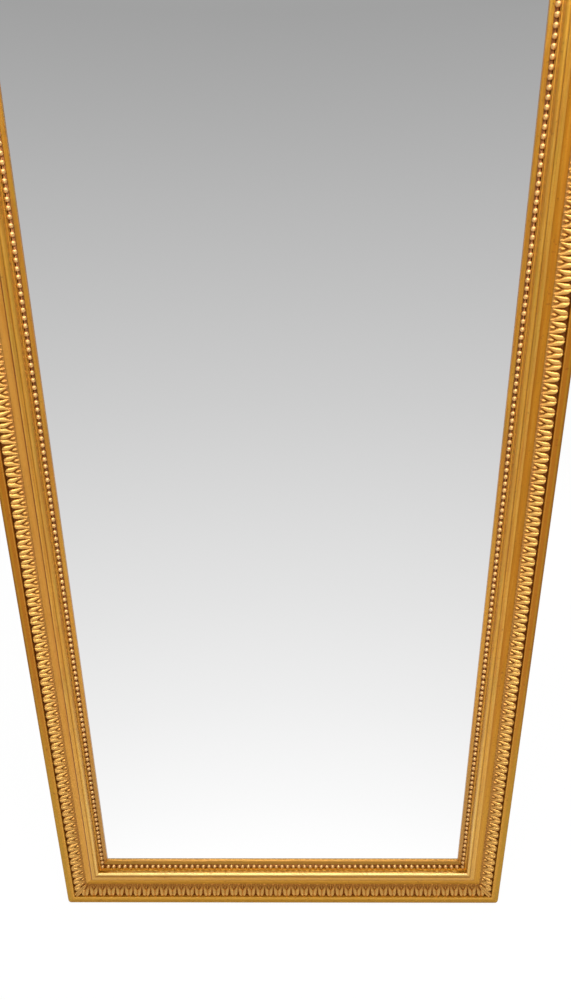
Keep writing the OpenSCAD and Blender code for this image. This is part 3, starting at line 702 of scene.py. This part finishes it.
class PIERMIRROR_OT_mouldings(bpy.types.Operator):
    """Gilds the sight moulding and the outer moulding."""
    bl_idname = "piermirror.mouldings"
    bl_label = "Gilded mouldings"

    def execute(self, context):
        finish = context.scene.pier_mirror_finish
        at = section_marks(context.scene.pier_mirror_carving)
        far = 200.0
        # The joint between the two mouldings has opened a little on the left
        sight_x = HALF_W / MM - at.edge
        joint = -sight_x - at.slip
        gap = ((joint - 1.3, joint + 1.3, -at.front - 2.0, 0.0), finish.bole_and_shade, 0.6, 1.0)
        # Painted light: beside the beads the uprights are painted pale, and so is the hollow on the left
        step = sight_x + at.ovolo
        hollow = ((-sight_x - at.leaf_inner, joint - 2.0, -far, 0.0), finish.hollow_light, 0.3, 0.5)
        pale = (((step - 6.0, step, -far, 0.0), finish.pale_gold_and_highlight, 0.5, 0.8),
                ((-step, 6.0 - step, -far, 0.0), finish.pale_gold_and_highlight, 0.5, 0.8))
        # Painted shade: a little bole in the bead channel and a dark line past the quirk. Painted
        # highlights: pale on the step, the ovolo and the fillet's edge
        zones = (((at.slope, at.channel, 0.0, at.floor + 1.0), finish.bole_and_shade, 0.12),
                 ((at.channel - 0.2, at.ovolo + 1.0, at.floor + 1.5, at.shoulder), finish.pale_gold_and_highlight, 0.4),
                 ((at.ovolo + 1.5, at.quirk - 2.0, at.shoulder, far), finish.pale_gold_and_highlight, 0.15),
                 ((at.slip - 4.5, at.slip - 0.5, at.front - 1.5, far), finish.pale_gold_and_highlight, 0.15),
                 ((at.quirk + 0.2, at.quirk + 0.8, 0.0, at.front - 1.0), finish.toning_and_shade, 0.6))
        # Mostly on the bottom rail: a darker slope, painted shade at the ovolo's foot and in the quirk,
        # painted highlights on the ovolo, and a darker fillet edge. Each with its amount on the level sides
        # and on the uprights
        low_zones = (((-1.0, at.slope, 0.0, at.floor + 2.0), finish.toning_and_shade, 0.5, 0.5),
                     ((at.ovolo - 1.5, at.ovolo + 0.8, at.shoulder - 4.0, at.front - 4.0),
                      finish.ovolo_foot_shade, 0.75, 0.2),
                     ((at.ovolo + 1.5, at.quirk - 2.0, at.front - 5.0, far), finish.pale_gold_and_highlight, 0.2, 0.5),
                     ((at.ovolo + 0.8, at.quirk - 3.6, at.front - 7.0, far), finish.ovolo_highlight, 0.35, 0.15),
                     ((at.quirk - 3.0, at.quirk + 0.4, 0.0, far), finish.toning_and_shade, 0.7, 0.1),
                     ((at.slip - 4.0, at.slip + 1.0, 0.0, far), finish.toning_and_shade, 0.25, 0.0))
        # Painted shade and dirt in the section's corners; the wide ones at the ovolo's foot and past the
        # quirk are painted shade lines
        corners = ((at.slope, at.floor, 1.4, 1.0), (at.channel, at.floor, 1.0, 0.5),
                   (at.ovolo, at.shoulder - 0.5, 2.8, 0.9), (0.0, at.seat, 1.0, 0.6),
                   (at.ovolo, at.step_top, 1.0, 0.4), (at.quirk + 0.4, at.front - 0.2, 3.0, 1.0),
                   (at.slip, at.front - 1.0, 1.0, 0.7))
        sight = gilding("Burnished water gilding", finish, 0.9, zones, low_zones, corners, (*pale, gap))
        past = at.edge + 1.0
        # Painted shade deepens the cove and the outer band, darkens the band's outer edge, draws a dark line
        # where the leaves end and lays bole under the leaves; a painted highlight runs along the band's
        # inner edge, and olive on the edge is a tint
        zones = (((at.slip, at.leaf_inner, at.seat, far), finish.deep_gold_and_shade, 0.5),
                 ((at.leaf_outer, past, at.ground, far), finish.deep_gold_and_shade, 0.9),
                 ((at.leaf_outer, past, at.ground, far), finish.toning_and_shade, 0.2),
                 ((at.edge - 8.0, past, 0.0, far), finish.olive_gold, 0.4),
                 ((at.edge - 5.0, past, 0.0, far), finish.toning_and_shade, 0.5),
                 ((at.leaf_outer - 0.5, at.leaf_outer + 0.5, 0.0, at.band - 3.0), finish.toning_and_shade, 0.8),
                 ((at.leaf_outer + 0.3, at.leaf_outer + 2.5, at.band - 2.2, far), finish.pale_gold_and_highlight, 0.45),
                 ((at.leaf_inner + 0.5, at.leaf_outer, 0.0, at.ground), finish.bole_and_shade, 0.5))
        # Towards the bottom: olive on the edge as a tint, painted shade on its outer part and a painted
        # highlight along the band's inner edge, each with its amount on the level sides and on the uprights
        low_zones = (((at.edge - 11.0, past, 0.0, far), finish.olive_gold, 0.5, 0.5),
                     ((at.edge - 10.0, past, 0.0, far), finish.toning_and_shade, 0.35, 0.1),
                     ((at.leaf_outer + 0.3, at.leaf_outer + 4.0, at.band - 3.0, far),
                      finish.pale_gold_and_highlight, 0.35, 0.1))
        # Painted shade and dirt at the joint, at the leaves' outer ends and over their inner ends
        corners = ((at.slip, at.front - 1.0, 1.0, 0.8), (at.leaf_outer, at.ground, 4.5, 1.0),
                   (at.leaf_inner + 1.0, at.front - 4.0, 10.0, 0.6))
        # The edge and the back of the rails were never gilded
        washed = ((at.edge - 0.4, past, -1.0, at.band - 5.0), (-1.0, past, -1.0, 0.6))
        outer = gilding("Matt oil gilding", finish, 0.5, zones, low_zones, corners, (hollow, gap), washed)
        for name in SIDES:
            repaint("sight_slip_" + name, sight)
            repaint("main_rail_" + name, outer)
        return {"FINISHED"}


class PIERMIRROR_OT_plate(bpy.types.Operator):
    """Silvers the plate."""
    bl_idname = "piermirror.plate"
    bl_label = "Mirror plate"

    def execute(self, context):
        repaint("mirror_plate", silvered_plate(context.scene.pier_mirror_finish))
        return {"FINISHED"}


# ---- Back ----

class PIERMIRROR_OT_back(bpy.types.Operator):
    """Finishes the pine back frame, the panelled back and what is glued inside."""
    bl_idname = "piermirror.back"
    bl_label = "Back frame and panels"

    def execute(self, context):
        finish = context.scene.pier_mirror_finish
        pine = (finish.pine_light, finish.pine_dark, finish.dust)
        board = (finish.board_light, finish.board_dark, finish.dust)
        # Name, colours, grain, ring width in mm, dust, and the nodes
        for name, colours, along, ring_mm, dust, nodes in (
                ("Planed pine, upright grain", pine, "Z", 2.4, 0.25,
                 ("back_frame_left", "back_frame_right")),
                ("Planed pine, level grain", pine, "X", 2.4, 0.25,
                 ("back_frame_top", "back_frame_bottom", "mitre_tongues")),
                ("Old pine, upright grain", board, "Z", 2.4, 0.45,
                 ("board_stile_left", "board_stile_right", "glazing_blocks")),
                ("Old pine, level grain", board, "X", 2.4, 0.45,
                 ("board_rail_middle", "board_rails_outer", "board_rails_inner")),
                ("Old pine panels", board, "X", 4.0, 0.5, ("board_panels",))):
            material = softwood(name, *colours, along, ring_mm, dust)
            for node in nodes:
                repaint(node, material)
        return {"FINISHED"}


# ---- Hardware ----

HEAD_SINK = 0.0001          # how far a screw's head lies below the wood
SLOT_TURN = 2.399           # from one screw's slot to the next, so that no two stand alike


def loose_parts(node):
    """The separate solids of a CAD node, as arrays of points."""
    bm = bmesh.new()
    bm.from_mesh(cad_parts[node].data)
    bmesh.ops.remove_doubles(bm, verts=bm.verts, dist=1e-6)
    parts, seen = [], set()
    for first in bm.verts:
        part, waiting = [], [first]
        while waiting:
            vert = waiting.pop()
            if vert not in seen:
                seen.add(vert)
                part.append(tuple(vert.co))
                waiting += [edge.other_vert(vert) for edge in vert.link_edges]
        if part:
            parts.append(np.array(part))
    bm.free()
    return parts


def add_screw(bm, middle, head_r, head_y, tip_y, turn):
    """A slotted countersunk wood screw that points to -Y, with its head's face at head_y."""
    slot_half, slot_deep = head_r * 0.13, head_r * 0.32
    shank_r = head_r / 2
    threaded = (head_y - tip_y) * 0.62
    segments = 24
    start = len(bm.verts)
    turns = [2 * math.pi * k / segments for k in range(segments)]

    def ring(radius, y):
        return [bm.verts.new((radius * math.cos(t), y, radius * math.sin(t))) for t in turns]

    def join(first, second):
        for k in range(len(first)):
            after = (k + 1) % len(first)
            bm.faces.new((first[k], first[after], second[after], second[k]))

    rim = ring(head_r, head_y - slot_deep)
    neck = ring(shank_r, head_y - head_r * 0.5 - slot_deep * 0.5)
    previous = ring(shank_r, tip_y + threaded)
    join(rim, neck)
    join(neck, previous)
    bm.faces.new(rim[::-1])
    # Rings stand for the thread, because a spiral wouldn't show at this size
    thread_count = 7
    for k in range(thread_count):
        y = tip_y + threaded * (1 - (k + 0.5) / thread_count)
        root_r = shank_r * (0.78 if k < thread_count - 1 else 0.4)
        for radius, step in ((root_r, 0.35), (root_r * 1.22, 0.0), (root_r, -0.35)):
            following = ring(radius, y + step * threaded / thread_count)
            join(previous, following)
            previous = following
    tip = bm.verts.new((0, tip_y, 0))
    for k in range(segments):
        bm.faces.new((previous[k], previous[(k + 1) % segments], tip))
    # The two halves of the head beside the slot
    for hand in (-1, 1):
        edge = math.acos(slot_half / head_r)
        arc = np.linspace(-edge, edge, 13)
        low, high = [], []
        for y, row in ((head_y - slot_deep, low), (head_y, high)):
            row += [bm.verts.new((hand * head_r * math.cos(t), y, head_r * math.sin(t))) for t in arc]
        join(low, high)
        bm.faces.new(high)
        bm.faces.new(low[::-1])
    bm.verts.ensure_lookup_table()
    fresh = bm.verts[start:]
    bmesh.ops.transform(bm, matrix=Matrix.Translation(middle) @ Matrix.Rotation(turn, 4, "Y"), verts=fresh)


def screw_group(node, material):
    """Slotted screws in the places of a CAD node's plain ones."""
    bm = bmesh.new()
    for number, part in enumerate(loose_parts(node)):
        low, high = part.min(0), part.max(0)
        middle = (low + high) / 2
        head_r = (high[0] - low[0]) / 2
        place = Vector((middle[0], 0, middle[2]))
        add_screw(bm, place, head_r, high[1] - HEAD_SINK, low[1], number * SLOT_TURN)
    piece = flat_piece(node + "_slotted", bm, material)
    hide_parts(node)
    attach(piece, "frame")
    return piece


class PIERMIRROR_OT_hardware(bpy.types.Operator):
    """Finishes the hangers and puts slotted screws in."""
    bl_idname = "piermirror.hardware"
    bl_label = "Hangers and screws"

    def execute(self, context):
        finish = context.scene.pier_mirror_finish
        brass = worn_metal("Pressed brass, dull", finish.brass, finish.tarnish, 0.34)
        steel = worn_metal("Iron wood screws", finish.steel, finish.rust, 0.42, 3.0)
        for name in ("strap_left", "strap_right", "ring_left", "ring_right"):
            repaint("hanger_" + name, brass)
        for node in ("frame_screws", "slip_screws", "board_screws"):
            screw_group(node, steel)
        screw_group("hanger_screws", brass)
        return {"FINISHED"}


# ---- Stage ----

CAMERA_RIGHT = 0.0375       # right of the frame's middle
CAMERA_FORWARD = 1.3579     # in front of the wall plane
CAMERA_UP = 0.5141          # above the frame's middle
CAMERA_PITCH = 21.42        # degrees down
CAMERA_YAW = -0.792         # degrees to the right
CAMERA_ROLL = -0.638        # degrees, its right side upwards
CAMERA_LENS_MM = 25.14
FLOOR_DROP = 0.003          # of the floor below the frame
FLOOR_HALF = 6.0
# The sine of a height, and the brightness that glossy rays see there
ROOM_STOPS = ((-1.0, 0.3), (-0.88, 0.45), (-0.78, 1.11), (-0.74, 1.105), (-0.70, 1.05), (-0.607, 0.95),
              (-0.494, 0.857), (-0.365, 0.767), (-0.23, 0.675), (-0.095, 0.596), (0.032, 0.523),
              (0.236, 0.394), (0.5, 0.55), (0.8, 0.9))
ROOM_FULL = 1.2
ROOM_ASIDE = 0.75           # the share of brightness far to the sides
# Name, place, target, width, height, watts, colour, and whether a mirror shows it
LAMPS = (("soft box above", (0.2, -1.7, 2.75), (0, 0, -0.4), 3.0, 2.0, 118, (0.97, 1.0, 0.95), True),
         ("soft box front", (-2.7, -2.1, 0.9), (0, 0, -0.3), 1.4, 1.4, 24, (1, 1, 1), False),
         ("soft box back", (1.8, 2.8, 1.6), (0, 0, 0), 2.0, 2.0, 60, (1, 1, 1), False))


def place_camera(scene):
    """A phone held at head height, turned down to take in the lower part of the mirror."""
    pitch, yaw, roll = (math.radians(a) for a in (CAMERA_PITCH, CAMERA_YAW, CAMERA_ROLL))
    forward = Vector((math.sin(yaw) * math.cos(pitch), math.cos(yaw) * math.cos(pitch), -math.sin(pitch)))
    level = Vector((math.cos(yaw), -math.sin(yaw), 0.0))
    above = level.cross(forward)
    right = math.cos(roll) * level + math.sin(roll) * above
    up = -math.sin(roll) * level + math.cos(roll) * above
    turn = Matrix((right, up, -forward)).transposed().to_4x4()
    data = bpy.data.cameras.new("camera")
    data.lens = CAMERA_LENS_MM
    data.sensor_width = 36.0
    data.clip_start = 0.01
    data.clip_end = 100.0
    camera = bpy.data.objects.new("camera", data)
    camera.matrix_world = Matrix.Translation((CAMERA_RIGHT, -CAMERA_FORWARD, CAMERA_UP)) @ turn
    scene.collection.objects.link(camera)
    scene.camera = camera


def build_world(scene):
    """Even studio light. Glossy rays see pale ground, a greyer room at eye level and darker sides."""
    world = bpy.data.worlds.new("studio")
    scene.world = world
    world.use_nodes = True
    tree = world.node_tree
    tree.nodes.clear()
    direction = add_node(tree, "ShaderNodeTexCoord").outputs["Generated"]
    split = add_node(tree, "ShaderNodeSeparateXYZ", Vector=direction)
    height = add_node(tree, "ShaderNodeMapRange", _0=split.outputs[2], _1=-1.0, _2=1.0)
    ramp = add_node(tree, "ShaderNodeValToRGB", {"label": "Brightness by height"}, Fac=height)
    elements = ramp.color_ramp.elements
    elements.remove(elements[1])
    for number, (sine, brightness) in enumerate(ROOM_STOPS):
        element = elements[0] if number == 0 else elements.new((sine + 1) / 2)
        element.position = (sine + 1) / 2
        element.color = (*[brightness / ROOM_FULL] * 3, 1)
    path = add_node(tree, "ShaderNodeLightPath")
    even = add_node(tree, "ShaderNodeBackground", Color=(0.97, 0.985, 1.0, 1.0), Strength=0.5)
    aside = add_node(tree, "ShaderNodeMath", {"operation": "ABSOLUTE"}, _0=split.outputs[0])
    side = add_node(tree, "ShaderNodeMapRange", SMOOTH,
                    _0=aside, _1=0.5, _2=0.85, _3=ROOM_FULL, _4=ROOM_FULL * ROOM_ASIDE)
    room = add_node(tree, "ShaderNodeBackground", Color=ramp.outputs[0], Strength=side)
    white = add_node(tree, "ShaderNodeBackground", Color=(1, 1, 1, 1), Strength=1.0)
    seen = add_node(tree, "ShaderNodeMixShader", _0=path.outputs["Is Glossy Ray"], _1=even, _2=room)
    seen = add_node(tree, "ShaderNodeMixShader", _0=path.outputs["Is Camera Ray"], _1=seen, _2=white)
    add_node(tree, "ShaderNodeOutputWorld", Surface=seen)


def soft_lamp(scene, name, place, target, width, height, watts, colour, in_mirror):
    """A soft box that faces a target."""
    data = bpy.data.lights.new(name, "AREA")
    data.shape = "RECTANGLE"
    data.size, data.size_y = width, height
    data.energy = watts
    data.color = colour
    lamp = bpy.data.objects.new(name, data)
    aim = Vector(target) - Vector(place)
    lamp.matrix_world = Matrix.Translation(place) @ aim.to_track_quat("-Z", "Y").to_matrix().to_4x4()
    lamp.visible_glossy = in_mirror
    scene.collection.objects.link(lamp)


def white_floor():
    """Matt white paint. The camera sees it mostly at full white, so that only a faint shadow shows."""
    material, tree = new_material("Matt white studio floor")
    paint = add_node(tree, "ShaderNodeMix", {"data_type": "RGBA"},
                     _0=blotches(tree, object_space(tree), 400.0, 0.3, 0.7),
                     _6=(0.93, 0.93, 0.93, 1), _7=(0.96, 0.96, 0.96, 1))
    shader = add_node(tree, "ShaderNodeBsdfPrincipled", Base_Color=paint, Roughness=0.9)
    glow = add_node(tree, "ShaderNodeEmission", Color=(1, 1, 1, 1), Strength=1.0)
    path = add_node(tree, "ShaderNodeLightPath")
    share = add_node(tree, "ShaderNodeMath", TIMES, _0=path.outputs["Is Camera Ray"], _1=0.95)
    seen = add_node(tree, "ShaderNodeMixShader", _0=share, _1=shader, _2=glow)
    add_node(tree, "ShaderNodeOutputMaterial", Surface=seen)
    return material


class PIERMIRROR_OT_stage(bpy.types.Operator):
    """Sets the camera, the pale floor and the soft light."""
    bl_idname = "piermirror.stage"
    bl_label = "Stage"

    def execute(self, context):
        scene = context.scene
        place_camera(scene)
        build_world(scene)
        bm = bmesh.new()
        bmesh.ops.create_grid(bm, x_segments=8, y_segments=8, size=FLOOR_HALF,
                              matrix=Matrix.Translation((0, 0, CAD_BOX[0][2] - FLOOR_DROP)))
        floor = flat_piece("floor", bm, white_floor())
        floor.visible_glossy = False
        for lamp in LAMPS:
            soft_lamp(scene, *lamp)
        scene.view_settings.view_transform = "Standard"
        return {"FINISHED"}


# ---- Panel and registration ----

PIECE_OPERATORS = (PIERMIRROR_OT_mouldings, PIERMIRROR_OT_beads, PIERMIRROR_OT_leaves,
                   PIERMIRROR_OT_plate, PIERMIRROR_OT_back, PIERMIRROR_OT_hardware, PIERMIRROR_OT_stage)


class PIERMIRROR_PT_panel(bpy.types.Panel):
    """Lists the mirror's pieces, sizes and finishes."""
    bl_idname = "PIERMIRROR_PT_panel"
    bl_label = "Pier Mirror"
    bl_space_type = "VIEW_3D"
    bl_region_type = "UI"
    bl_category = "Pier Mirror"

    def draw(self, context):
        for operator in PIECE_OPERATORS:
            self.layout.operator(operator.bl_idname)
        for group in (context.scene.pier_mirror_carving, context.scene.pier_mirror_finish):
            box = self.layout.box()
            for name in group.__annotations__:
                box.prop(group, name)


CLASSES = (PierMirrorCarving, PierMirrorFinish, *PIECE_OPERATORS, PIERMIRROR_PT_panel)


def register():
    for cls in CLASSES:
        bpy.utils.register_class(cls)
    bpy.types.Scene.pier_mirror_carving = bpy.props.PointerProperty(type=PierMirrorCarving)
    bpy.types.Scene.pier_mirror_finish = bpy.props.PointerProperty(type=PierMirrorFinish)


def unregister():
    del bpy.types.Scene.pier_mirror_finish
    del bpy.types.Scene.pier_mirror_carving
    for cls in reversed(CLASSES):
        bpy.utils.unregister_class(cls)


def main():
    register()
    bpy.ops.piermirror.mouldings()
    bpy.ops.piermirror.beads()
    bpy.ops.piermirror.leaves()
    bpy.ops.piermirror.plate()
    bpy.ops.piermirror.back()
    bpy.ops.piermirror.hardware()
    bpy.ops.piermirror.stage()


if __name__ == "__main__":
    main()
